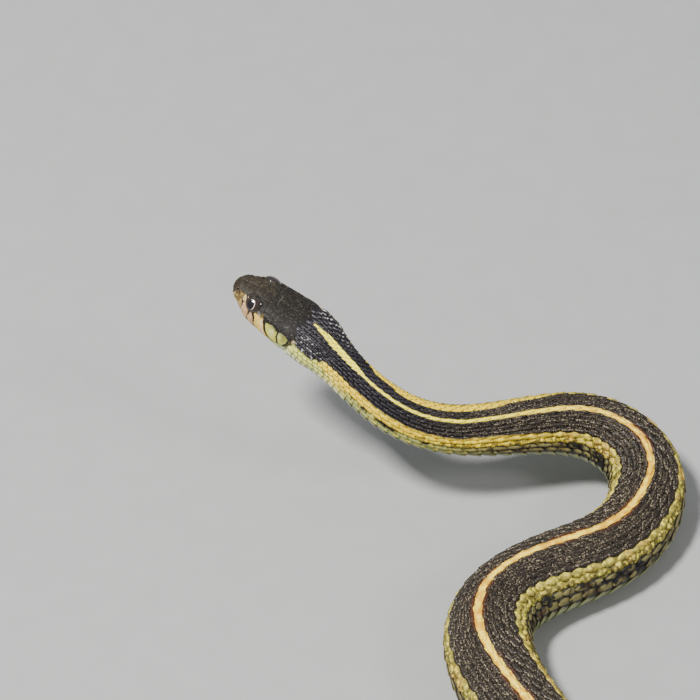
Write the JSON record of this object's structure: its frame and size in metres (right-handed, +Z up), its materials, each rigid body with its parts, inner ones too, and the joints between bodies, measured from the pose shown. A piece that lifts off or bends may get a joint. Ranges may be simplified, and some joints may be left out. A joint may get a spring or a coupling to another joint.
{
  "type": "garter snake",
  "caption": "Striped garter snake as a still life-size model: head and neck raised, body laid in open bends on the floor.",
  "frame": {"origin": "centre of the plan of the bounding box, on the floor that the belly rests on", "axes": "+Z up from the floor; +X to the right in the picture's view; +Y away from the picture's camera"},
  "size_m": [0.25, 0.2726, 0.0513],
  "materials": {
    "head_skin": "satin dark brown head shields",
    "throat_skin": "satin pale cream lips and throat",
    "body_skin": "satin dark brown scales with three yellow stripes and a grey-green belly",
    "eye": "wet gloss, dark"
  },
  "bodies": {
    "root": {"head": "head_skin", "lower_jaw": "throat_skin", "eye_left": "eye", "eye_right": "eye", "neck": "body_skin", "body_01": "body_skin", "body_02": "body_skin", "body_03": "body_skin", "body_04": "body_skin", "body_05": "body_skin", "body_06": "body_skin", "body_07": "body_skin", "body_08": "body_skin", "body_09": "body_skin", "body_10": "body_skin", "body_11": "body_skin", "body_12": "body_skin", "body_13": "body_skin", "tail_1": "body_skin", "tail_2": "body_skin", "tail_3": "body_skin", "tail_4": "body_skin"}
  },
  "joints": []
}
